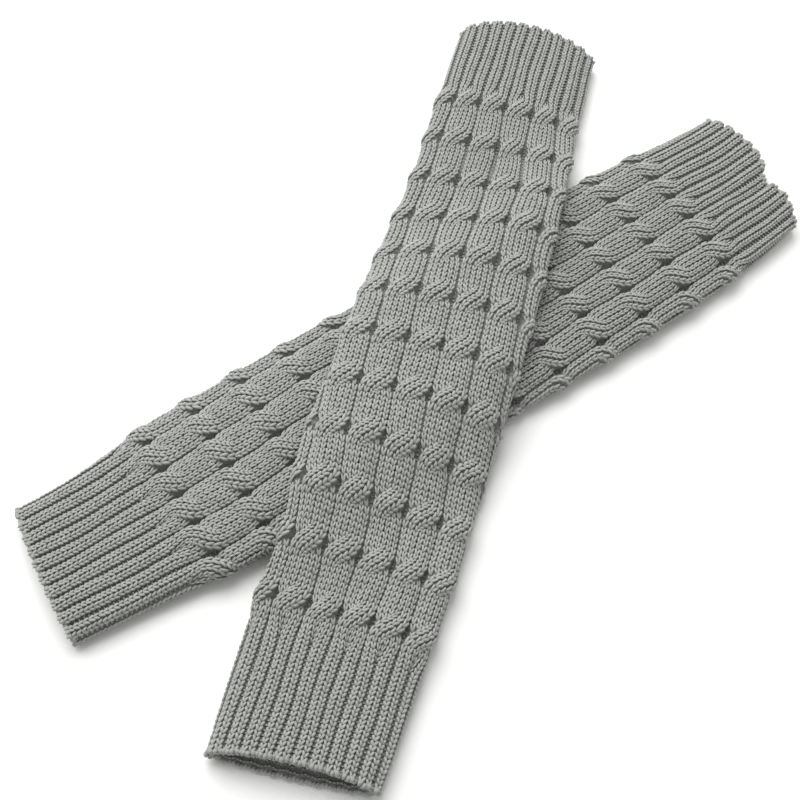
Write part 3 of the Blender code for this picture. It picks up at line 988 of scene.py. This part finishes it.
class StitchNodes:
    """The Geometry Nodes tree that knits one stitch model onto every point of a chart."""

    INPUTS = (
        ("Geometry", "Geometry"),
        ("Stitch", "Object"),
        ("Yarn", "Material"),
        ("Size Spread", "Float"),
        ("Seed", "Int"),
    )
    SIZE_SPREAD = 0.05

    def __init__(self) -> None:
        """Build the tree with its named inputs."""
        self.tree = bpy.data.node_groups.new("knit_on_chart", "GeometryNodeTree")
        face = self.tree.interface
        for name, kind in self.INPUTS:
            face.new_socket(name, in_out="INPUT", socket_type=f"NodeSocket{kind}")
        face.new_socket("Geometry", in_out="OUTPUT", socket_type="NodeSocketGeometry")
        works = NodeWorks(self.tree)
        given = works.add("NodeGroupInput").outputs
        out, along, size = (self._named(works, name) for name in ("out", "forward", "size"))
        turn = works.add(
            "FunctionNodeAxesToRotation",
            {0: out, 1: along},
            primary_axis="Z",
            secondary_axis="Y",
        )
        chance = works.add(
            "FunctionNodeRandomValue",
            {
                2: works.maths("SUBTRACT", 1.0, given["Size Spread"]),
                3: works.maths("ADD", 1.0, given["Size Spread"]),
                "Seed": given["Seed"],
            },
            data_type="FLOAT",
        )
        scaled = works.add(
            "ShaderNodeVectorMath", {0: size, 3: chance.outputs[1]}, operation="SCALE"
        )
        model = works.add(
            "GeometryNodeObjectInfo", {"Object": given["Stitch"], "As Instance": True}
        )
        knitted = works.add(
            "GeometryNodeInstanceOnPoints",
            {
                "Points": given["Geometry"],
                "Instance": model.outputs["Geometry"],
                "Rotation": turn.outputs[0],
                "Scale": scaled.outputs[0],
            },
        )
        real = works.add("GeometryNodeRealizeInstances", {0: knitted.outputs[0]})
        dyed = works.add(
            "GeometryNodeSetMaterial", {"Geometry": real.outputs[0], "Material": given["Yarn"]}
        )
        works.add("NodeGroupOutput", {0: dyed.outputs[0]})

    @staticmethod
    def _named(works: NodeWorks, name: str) -> NodeSocket:
        """Return the output of a named vector attribute."""
        kind = "GeometryNodeInputNamedAttribute"
        node = works.add(kind, {"Name": name}, data_type="FLOAT_VECTOR")
        return next(socket for socket in node.outputs if socket.enabled)

    def knit(self, name: str, points: Points, stitch: Object, yarn: Material) -> Object:
        """Return a plain mesh object with the stitch on every point.

        Args:
            name: The new piece's name.
            points: Positions in metres, and the forward, out, size and tone of each stitch.
            stitch: The stitch model.
            yarn: The material that the piece gets.

        Returns:
            The finished piece, at the origin.
        """
        mesh = bpy.data.meshes.new(f"{name}_chart")
        mesh.vertices.add(len(points["position"]))
        mesh.vertices.foreach_set("co", points["position"].astype(np.float32).ravel())
        for key in ("forward", "out", "size", "tone"):
            add_attribute(mesh, key, points[key])
        chart = add_object(mesh.name, mesh)
        modifier = chart.modifiers.new("knit", "NODES")
        modifier.node_group = self.tree
        values = {"Stitch": stitch, "Yarn": yarn, "Size Spread": self.SIZE_SPREAD, "Seed": SEED}
        for item in self.tree.interface.items_tree:
            if item.in_out == "INPUT" and item.name in values:
                modifier[item.identifier] = values[item.name]
        bpy.context.view_layer.update()
        graph = bpy.context.evaluated_depsgraph_get()
        made = bpy.data.meshes.new_from_object(chart.evaluated_get(graph))
        made.name = name
        for extra in ("forward", "out", "size"):
            if extra in made.attributes:
                made.attributes.remove(made.attributes[extra])
        bpy.data.objects.remove(chart, do_unlink=True)
        return add_object(name, made)


@dataclass
class KnitWorks:
    """What both warmers share: the stitch tree, the models and the materials."""

    nodes: StitchNodes
    stitch: Object
    bar: Object
    loop: Object
    yarn: Material
    wall: Material


@dataclass
class Hand:
    """The knitter's hand, which sets the stitches a little unevenly, the same way each run."""

    seed: int
    move: float                     # spread of the stitches' places, in millimetres
    lean: float                     # and of their directions
    tones: tuple[float, float]      # darkest and lightest tone

    def __post_init__(self) -> None:
        """Start the random draws."""
        self.rng = np.random.default_rng(self.seed)

    def join(self, rows: list[Points]) -> Points:
        """Return the points of several rows in one, unevenly set, with places in metres."""
        points = {key: np.concatenate([row[key] for row in rows]) for key in rows[0]}
        shape = points["position"].shape
        points["position"] = (points["position"] + self.rng.normal(0.0, self.move, shape)) * MM
        if self.lean:
            points["forward"] = points["forward"] + self.rng.normal(0.0, self.lean, shape)
        points["tone"] = self.rng.uniform(*self.tones, shape[0])
        return points


def unit(vectors: Array) -> Arrays:
    """Return vectors at length 1, and the lengths they had."""
    length = np.linalg.norm(vectors, axis=1)
    return vectors / length[:, None], length


def directions(forward: Array, across: Array) -> Arrays:
    """Return stitches' directions ahead and outwards, and their lengths and widths."""
    forward, length = unit(forward)
    across, width = unit(across - (across * forward).sum(1)[:, None] * forward)
    return forward, np.cross(across, forward), length, width


def chosen(keep: Array, **values: Array) -> Points:
    """Return the values of the stitches that are kept."""
    return {name: each[keep] for name, each in values.items()}


def stitch_middles(length: float) -> Array:
    """Return lengths walked to the middle of each stitch of a course."""
    return ((np.arange(STITCHES_ROUND) + 0.5) / STITCHES_ROUND - 0.5) * length


@dataclass
class LegWarmer:
    """One leg warmer: three walls, the stitches knitted on them, and its two hems."""

    name: str
    form: TubeForm
    columns: tuple[int, int]
    leg_nodes: tuple[str, ...]
    works: KnitWorks
    covered_by: TubeForm | None = None
    cover: float = 9.0          # stitches stop this far inside the edges of the warmer on top
    samples: int = 22           # points across a pitch on the upper side
    under_samples: int = 22     # points round the underside
    rib_course: float = 2.5     # length of a stitch in the ribs
    cable_course: float = 2.93  # and along a strand of the cables
    low_edge: float = 1.7       # stitches stop this far above the floor
    low_spare: float = 1.0      # and this far from the middle of the underside
    third_from: float = 0.25    # share of the cables at which a strand's third wale starts
    hidden: float = 1.15        # half width of the strand that hides the other, in wales,
    hidden_from: float = 0.15   # once it is raised over it by this share
    bar_ribs: float = 0.3       # share of the cables up to which bars lie between ribs
    bar_crossed: float = 0.5    # share of a crossing from which more bars lie in its channel,
    bar_spread: float = 0.2     # this far beside its middle, in pitches
    bar_half: float = 0.08      # half width of a bar, in pitches
    bar_lift: float = 0.15      # height of a purl bar between ribs,
    bar_channel: float = 0.4    # how much deeper than the wall it lies between cables,
    bar_dimple: float = 0.2     # and how much less deep beside a crossing
    bar_narrow: float = 0.25    # how much narrower a bar is between cables
    hem_inset: float = 0.1      # how far in from the tube's end the hem's loops lie
    hem_clear: float = 0.3      # and their least height above what the hem lies on,
    hem_reach: float = 0.9      # with this much for each share of their own size
    bare_below: float = 1.0     # the wall is bare up to this height,
    bare_fade: float = 3.0      # and less and less so above it
    leg_pieces: int = 3         # pieces that the leg's stitches are divided into
    inside_courses: int = 7     # courses of purl bars inside an open end,
    inside_from: float = 0.9    # from this far past the hem,
    inside_deep: float = 0.25   # this far behind the wall's inner face
    inside_wide: float = 1.15   # and this much wider than their places
    open_stitches: float = 0.12     # how much wider the stitches lie where the fabric is slack
    open_to: float = 270.0          # the slack fabric's end, along the tube
    drawn_from: float = WARMER_LENGTH   # where the fabric starts to be drawn out lengthwise
    gaps: tuple[Crease, ...] = ()   # opened channels: across is a column, depth a share

    def __post_init__(self) -> None:
        """Lay out the stitch chart and sample the tube's face."""
        self.chart = KnitChart(self.form, drawn_from=self.drawn_from)
        self.surface = TubeSurface(self.form, *self.columns)

    def ease(self, along: Array, cable: Array) -> Array:
        """Return how much wider than charted each cable lies, as a share of its width."""
        slack = sum(
            share * np.sin(along / length + shift * cable) for share, length, shift in EASE_WAVES
        )
        for gap in self.gaps:
            near = np.exp(-(((along - gap.along) / (gap.length / 2)) ** 4))
            slack = slack - gap.depth * near * (np.abs(cable - gap.across + 0.5) < 0.6)
        return 1.0 + slack

    def wall_row(self, along: float) -> Arrays:
        """Return the places, raised heights and chart columns of one row of wall points.

        Args:
            along: Distance from the cast-on hem.

        Returns:
            Lengths walked, raised heights and stitch counts.
        """
        section = self.form.section(along)
        contour = self.form.contour(along, Layer.OUTER)
        first, last = self.columns
        column = np.linspace(first, last, (last - first) * self.samples + 1)
        walked = (column + section.turn) * section.pitch
        ends = [walked[-1], walked[0] + contour.length]
        under = np.linspace(*ends, self.under_samples + 2)[1:-1]
        cables_round = STITCHES_ROUND / STITCHES_PER_CABLE
        under_column = np.interp(under, ends, [last, first + cables_round])
        fade = smooth_step(contour.at(walked)[1] / FLANK_HEIGHT)
        cable = np.floor(column)
        place = 0.5 + (column - cable - 0.5) / self.ease(along, cable)
        raised = self.chart.shell_raised(along, place) * fade
        return (
            np.concatenate((walked, under)),
            np.concatenate((raised, np.zeros(len(under)))),
            np.concatenate((column, under_column)) * STITCHES_PER_CABLE,
        )

    def build_wall(self, stretch: Stretch) -> Object:
        """Return the closed wall of one stretch, raised behind its stitches and plain inside.

        Args:
            stretch: The stretch of the tube.

        Returns:
            The wall's object.
        """
        form = self.form
        start = stretch.start + (SEAM_GAP / 2 if stretch.start > 0 else 0.0)
        end = stretch.end - (SEAM_GAP / 2 if stretch.end < WARMER_LENGTH else 0.0)
        courses = round((stretch.end - stretch.start) / COURSE)
        rows = [(along, Layer.OUTER) for along in np.linspace(start, end, courses + 1)]
        rows += [(along, Layer.INNER) for along in np.linspace(end, start, courses // 3 + 1)]
        rings, charts, bare = [], [], []
        for along, layer in rows:
            walked, raised, counts = self.wall_row(along)
            outline = form.contour(along, layer)
            if layer is Layer.INNER:
                walked = walked / form.contour(along, Layer.OUTER).length * outline.length
                raised = np.zeros(len(walked))
                bare.append(np.ones(len(walked)))
            else:
                above = outline.at(walked)[1] - self.bare_below
                bare.append(1.0 - smooth_step(above / self.bare_fade))
            rings.append(form.place(along, walked, raised, layer))
            charts.append(np.column_stack((counts, np.full(len(counts), along / COURSE))))
        count, total = len(rings[0]), len(rings)
        ring, step = np.divmod(np.arange(total * count), count)
        low, high, following = ring * count, (ring + 1) % total * count, (step + 1) % count
        faces = np.column_stack((low + step, low + following, high + following, high + step))
        mesh = bpy.data.meshes.new(f"{self.name}_{stretch.label}_wall")
        mesh.from_pydata((np.concatenate(rings) * MM).tolist(), [], faces.tolist())
        corners = np.array([corner.vertex_index for corner in mesh.loops])
        values = np.concatenate(charts)[corners]
        closing = np.repeat(np.tile(np.arange(count) == count - 1, total), 4)
        values[closing & (corners % count == 0), 0] += STITCHES_ROUND
        add_uv(mesh, "chart", values)
        add_attribute(mesh, "bare", np.concatenate(bare))
        close_mesh(mesh)
        mesh.materials.append(self.works.wall)
        return add_object(mesh.name, mesh)

    def _uncovered(self, point: Array, height: Array, spare: Array) -> Array:
        """Return which stitches are off the floor and aren't covered by the warmer on top."""
        keep = (height > self.low_edge) & (spare > self.low_spare)
        if self.covered_by is not None:
            keep &= ~self.covered_by.covers(point[:, :2], self.cover)
        return keep

    def wale_points(self, strand: StrandRun, wale: int, walked: Array, step: float) -> Points:
        """Return one wale's knit stitches in every column of cables.

        Args:
            strand: The strand that the wale belongs to.
            wale: -1, 0 or 1, from the left.
            walked: Lengths walked along the strand, one for each stitch.
            step: Length of a stitch.

        Returns:
            Position, forward, out and size of each stitch.
        """
        first, last = self.columns
        columns = np.arange(first - 1, last + 1)
        count = len(columns)

        def spot(ahead: float, beside: float) -> Arrays:
            """Return points a share of a stitch ahead and beside, and where they are."""
            place_on = self.chart.on_strand(strand, walked + ahead * step, wale + beside)
            along, place, raised = place_on
            eased = (place[None, :] - 0.5) * self.ease(along[None, :], columns[:, None])
            grid = (columns[:, None] + 0.5 + eased).ravel()
            along, place, raised = (np.tile(values, count) for values in place_on)
            return *self.surface.at(along, grid, raised), along, place

        point, height, spare, along, place = spot(0.0, 0.0)
        forward, out, length, width = directions(
            spot(0.5, 0.0)[0] - spot(-0.5, 0.0)[0], spot(0.0, 0.5)[0] - spot(0.0, -0.5)[0]
        )
        keep = self._uncovered(point, height, spare) & self._shows(strand, along, place)
        keep &= (along > 0.0) & (along < WARMER_LENGTH)
        # The third wale starts where the ribs run into the cables.
        on_left = np.tile(np.interp(walked, strand.walked, strand.across) < 0, count)
        third = (wale == 1) & on_left | (wale == -1) & ~on_left
        keep &= ~(third & (self.chart.cable_share(along) < self.third_from))
        slack = 1.0 + self.open_stitches * smooth_step((self.open_to - along) / EASE_LENGTH)
        size = np.column_stack((slack * width / WALE, length / COURSE, np.sqrt(width / WALE)))
        return chosen(keep, position=point, forward=forward, out=out, size=size)

    def _shows(self, strand: StrandRun, along: Array, place: Array) -> Array:
        """Return which stitches of a strand aren't hidden under the other strand."""
        other = self.chart.strands[1] if strand.side < 0 else self.chart.strands[0]
        names = ("pitch", "over", "heading", "across")
        pitch, over, heading, across = other.look("along", along, *names)
        away = np.abs(((place - 0.5) * pitch - across) * np.cos(heading))
        return (over < self.hidden_from) | (away > self.hidden * self.chart.cable_wale * pitch)

    def purl_points(self, stretch: Stretch) -> Points:
        """Return the purl bars of a stretch, where a channel is open enough to show them.

        Args:
            stretch: The stretch of the tube.

        Returns:
            Position, forward, out and size of each bar.
        """
        first, last = self.columns
        chart = self.chart
        steps = np.arange(STITCHES_PER_CABLE * (first - 1), STITCHES_PER_CABLE * (last + 1))
        steps = steps / STITCHES_PER_CABLE
        marks = np.arange(stretch.start + 0.5 * COURSE, stretch.end, COURSE)
        column, along = (grid.ravel() for grid in np.meshgrid(steps, marks))
        crossed = np.interp(along, chart.strands[0].along, chart.crossed)
        beside = np.abs((column + 0.5) % 1.0 - 0.5)
        in_ribs = (chart.cable_share(along) < self.bar_ribs) & (column % 0.5 == 0)
        in_dimple = (beside < self.bar_spread) & (crossed > self.bar_crossed)
        wanted = in_ribs | (beside == 0) | in_dimple
        column, along, crossed = column[wanted], along[wanted], crossed[wanted]
        cable = chart.cable_share(along)
        low = self.bar_lift - (chart.channel + self.bar_channel) * cable
        low = low - (chart.dimple - self.bar_dimple) * crossed

        def spot(ahead: float, beside: float) -> Arrays:
            """Return points ahead, in millimetres, and beside, in shares of a pitch."""
            return self.surface.at(along + ahead, column + beside, low)

        point, height, spare = spot(0.0, 0.0)
        across = spot(0.0, self.bar_half)[0] - spot(0.0, -self.bar_half)[0]
        forward, out, _, _ = directions(spot(1.0, 0.0)[0] - spot(-1.0, 0.0)[0], across)
        keep = self._uncovered(point, height, spare)
        size = np.column_stack((1.0 - self.bar_narrow * cable, np.ones((len(cable), 2))))
        return chosen(keep, position=point, forward=forward, out=out, size=size)

    def _knit(self, label: str, rows: list[Points], hand: Hand, model: Object) -> Object:
        """Knit a model on every point of several rows.

        Args:
            label: The piece's name, after the warmer's own.
            rows: The rows' points.
            hand: How unevenly they are set.
            model: The stitch model.

        Returns:
            The finished piece.
        """
        points = hand.join(rows)
        LOG.info("%s_%s: %d stitches", self.name, label, len(points["position"]))
        return self.works.nodes.knit(f"{self.name}_{label}", points, model, self.works.yarn)

    def build_purl(self, stretch: Stretch) -> Object:
        """Knit the purl bars of one stretch."""
        hand = Hand(SEED + 3, move=0.06, lean=0.0, tones=(0.0, 0.3))
        rows = [self.purl_points(stretch)]
        return self._knit(f"{stretch.label}_purl", rows, hand, self.works.bar)

    def build_stitches(self, stretch: Stretch, parts: int) -> list[Object]:
        """Knit the stitches of one stretch, in one or more pieces.

        Args:
            stretch: The stretch of the tube.
            parts: How many pieces the stretch is divided into.

        Returns:
            The pieces, in order along the tube.
        """
        seed = SEED + len(stretch.label) + len(self.name)
        hand = Hand(seed, move=0.07, lean=0.05, tones=(0.0, 0.45))
        course = self.cable_course if stretch is Stretch.LEG else self.rib_course
        edges = np.linspace(stretch.start, stretch.end, parts + 1)
        pieces = []
        for part, ends in enumerate(zip(edges, edges[1:])):
            rows = []
            for strand in self.chart.strands:
                start, end = np.interp(ends, strand.along, strand.walked)
                count = round((end - start) / course)
                step = (end - start) / count
                walked = start + (np.arange(count) + 0.5) * step
                rows += [self.wale_points(strand, wale, walked, step) for wale in (-1, 0, 1)]
            suffix = f"_{part + 1}" if parts > 1 else ""
            label = f"{stretch.label}_stitches{suffix}"
            pieces.append(self._knit(label, rows, hand, self.works.stitch))
        return pieces

    def _hem_row(self, stretch: Stretch, inset: float, size: float) -> Points:
        """Return one row of edge loops all round an open hem.

        Args:
            stretch: The cuff.
            inset: How far the row lies inside the ribs' own outer face.
            size: Thickness of the loops, as a share of the loop model's.

        Returns:
            Position, forward, out and size of each loop.
        """
        form = self.form
        along, ahead = self.hem_inset, 1.0
        if stretch is Stretch.BIND_OFF:
            along, ahead = WARMER_LENGTH - self.hem_inset, -1.0
        section, contour = form.section(along), form.contour(along, Layer.OUTER)
        half = contour.length / STITCHES_ROUND / 2
        walked = stitch_middles(contour.length)

        def spot(beside: float, deeper: float = 0.0) -> Array:
            """Return the row's points, moved round the hem and into the tube."""
            where = walked + beside
            ribs = self.chart.shell_raised(along, where / section.pitch - section.turn)
            raised = ribs * smooth_step(contour.at(where)[1] / FLANK_HEIGHT) - inset
            return form.place(along + ahead * deeper, where, raised)

        here = spot(0.0)
        forward, length = unit(spot(half) - spot(-half))
        out, _ = unit(here - spot(0.0, 1.0))
        # No loop reaches below what the hem lies on.
        here[:, 2] = np.maximum(here[:, 2], self.hem_reach * size + self.hem_clear)
        thick = np.full(len(here), size)
        sizes = np.column_stack((thick, length / WALE, thick))
        return {"position": here, "forward": forward, "out": out, "size": sizes}

    def build_hem(self, stretch: Stretch) -> Object:
        """Knit an open hem's lip: a row of loops along the ribs, and one along its inner edge."""
        hand = Hand(SEED, move=0.12, lean=0.0, tones=(0.1, 0.6))
        rows = [self._hem_row(stretch, inset=-0.5, size=2.0)]
        rows.append(self._hem_row(stretch, inset=1.8, size=1.5))
        return self._knit(f"{stretch.label}_hem", rows, hand, self.works.loop)

    def build_inside(self, stretch: Stretch) -> Object:
        """Knit the purl bars inside an open end, which show where its lower layer reaches out.

        Args:
            stretch: The cuff.

        Returns:
            The finished piece.
        """
        rows, near = [], self.inside_deep
        for course in range(self.inside_courses):
            past = self.inside_from + course * COURSE
            along = past if stretch is Stretch.CAST_ON else WARMER_LENGTH - past
            length = self.form.contour(along, Layer.INNER).length
            step = length / STITCHES_ROUND
            here, farther, beside = (
                self.form.place(along, stitch_middles(length) + aside, -deep, Layer.INNER)
                for aside, deep in ((0.0, near), (0.0, near + 1.0), (step / 2, near))
            )
            out = farther - here
            forward, _ = unit(np.cross(out, unit(beside - here)[0]))
            wide = np.full(len(here), step / WALE * self.inside_wide)
            size = np.column_stack((wide, np.ones((len(here), 2))))
            rows.append({"position": here, "forward": forward, "out": out, "size": size})
        hand = Hand(SEED + 5, move=0.12, lean=0.15, tones=(0.0, 0.4))
        return self._knit(f"{stretch.label}_inside", rows, hand, self.works.bar)

    def flat_size(self, stretch: Stretch) -> tuple[float, float]:
        """Return the width all round and the length of a stretch, in metres."""
        middle = (stretch.start + stretch.end) / 2
        round_mm = self.form.contour(middle, Layer.OUTER).length
        return round_mm * MM, (stretch.end - stretch.start) * MM

    def build(self) -> None:
        for stretch in Stretch:
            endings = self.leg_nodes if stretch is Stretch.LEG else (stretch.label,)
            nodes = [f"{self.name}_{ending}" for ending in endings]
            wall = self.build_wall(stretch)
            added = self.build_stitches(stretch, self.leg_pieces if stretch is Stretch.LEG else 1)
            added.append(self.build_purl(stretch))
            if stretch is not Stretch.LEG:
                added += [self.build_hem(stretch), self.build_inside(stretch)]
            for piece in (wall, *added):
                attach(piece, "root")
                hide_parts(*nodes)
                LOG.info("%s: %d faces", piece.name, len(piece.data.polygons))
            self.flat_size(stretch)


@dataclass
class Studio:
    """The pale floor, the soft lights and the camera at the photograph's angle."""

    camera_at: tuple[float, float, float] = (-0.0156, -0.3392, 0.6218)
    tilt: float = 27.0
    lens: float = 58.5
    floor_reach: float = 6.0
    floor_level: float = -0.0002    # just below the knitting
    surround: float = 0.45      # strength of the even light

    def build_camera(self) -> None:
        """Make the camera and set it as the scene's."""
        data = bpy.data.cameras.new("camera")
        data.sensor_width = 36.0
        data.lens = self.lens
        camera = add_object("camera", data)
        camera.location = self.camera_at
        camera.rotation_euler = (math.radians(self.tilt), 0.0, 0.0)
        bpy.context.scene.camera = camera

    def build_floor(self) -> None:
        """Make the plain pale floor."""
        reach = self.floor_reach
        corners = ((-reach, -reach), (reach, -reach), (reach, reach), (-reach, reach))
        mesh = bpy.data.meshes.new("floor")
        mesh.from_pydata([(x, y, self.floor_level) for x, y in corners], [], [(0, 1, 2, 3)])
        mesh.materials.append(Finish().build("matt_white_paper"))
        floor = add_object("floor", mesh)

    def build_lights(self) -> None:
        """Make one large soft light overhead, a low one at either side, and an even surround."""
        for name, place, turn, size, power in (
            ("overhead", (-0.36, 0.85, 1.45), (-30.4, -12.1, 0.0), 1.5, 34.2),
            ("left", (-0.75, 0.25, 0.55), (-16.6, -48.9, 0.0), 0.5, 2.0),
            ("right", (0.75, 0.45, 0.55), (-23.2, 47.4, 0.0), 0.5, 1.5),
        ):
            data = bpy.data.lights.new(name, "AREA")
            data.size = size
            data.energy = power
            light = add_object(name, data)
            light.location = place
            light.rotation_euler = Euler([math.radians(v) for v in turn])
        world = bpy.data.worlds.new("surround")
        world.use_nodes = True
        ground = world.node_tree.nodes["Background"]
        ground.inputs["Color"].default_value = (1.0, 1.0, 1.0, 1.0)
        ground.inputs["Strength"].default_value = self.surround
        bpy.context.scene.view_settings.view_transform = "Standard"
        bpy.context.scene.world = world

    def build(self) -> None:
        """Make everything round the object."""
        self.build_camera()
        self.build_floor()
        self.build_lights()


def main() -> None:
    """Load the frame, dress both leg warmers and set the studio."""
    logging.basicConfig(level=logging.INFO, format="%(message)s")
    for shape in list(bpy.data.objects):
        bpy.data.objects.remove(shape, do_unlink=True)
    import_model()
    Studio().build()
    models = StitchModel()
    works = KnitWorks(
        nodes=StitchNodes(),
        stitch=models.knit_stitch(),
        bar=models.purl_bar(),
        loop=models.hem_loop(),
        yarn=YarnFinish().build("brushed_acrylic_yarn"),
        wall=WallFinish().build("purl_side_acrylic_knit"),
    )
    under_form = TubeForm(
        start=(-191.4, -122.8),
        heading=33.0,
        sections=UNDER_SECTIONS,
        cast_on=Hem(0.0, slant=-3.5, bow=-1.5, under_bow=-1.5),
        bind_off=Hem(-9.5, slant=-3.0, bow=8.0, under_bow=8.0, notch=7.0, notch_at=12.0),
        creases=(Crease(446.0, across=12.0, turn=2.0, length=34.0, width=3.6, depth=2.2),),
    )
    over_form = TubeForm(
        start=(-64.7, -217.7),
        heading=73.84,
        sections=OVER_SECTIONS,
        cast_on=Hem(-1.5, slant=2.5, bow=3.5, under_bow=-1.5),
        bind_off=Hem(-8.0, slant=-0.5, bow=10.5, under_bow=9.0),
        creases=(Crease(88.0, across=2.4, turn=25.0, length=9.0, width=2.4, depth=1.3),),
        lies_on=under_form,
    )
    under_leg = ("lower_leg", "middle_leg", "upper_leg")
    LegWarmer("under", under_form, (-3, 4), under_leg, works, covered_by=over_form).build()
    opened = Crease(353.0, across=1.0, turn=0.0, length=20.0, width=0.0, depth=0.12)
    over_leg = ("lower_leg", "calf_leg", "middle_leg", "upper_leg")
    LegWarmer("over", over_form, (-3, 5), over_leg, works, drawn_from=205.0, gaps=(opened,)).build()
    for model in (works.stitch, works.bar, works.loop):
        bpy.data.objects.remove(model, do_unlink=True)


if __name__ == "__main__":
    main()
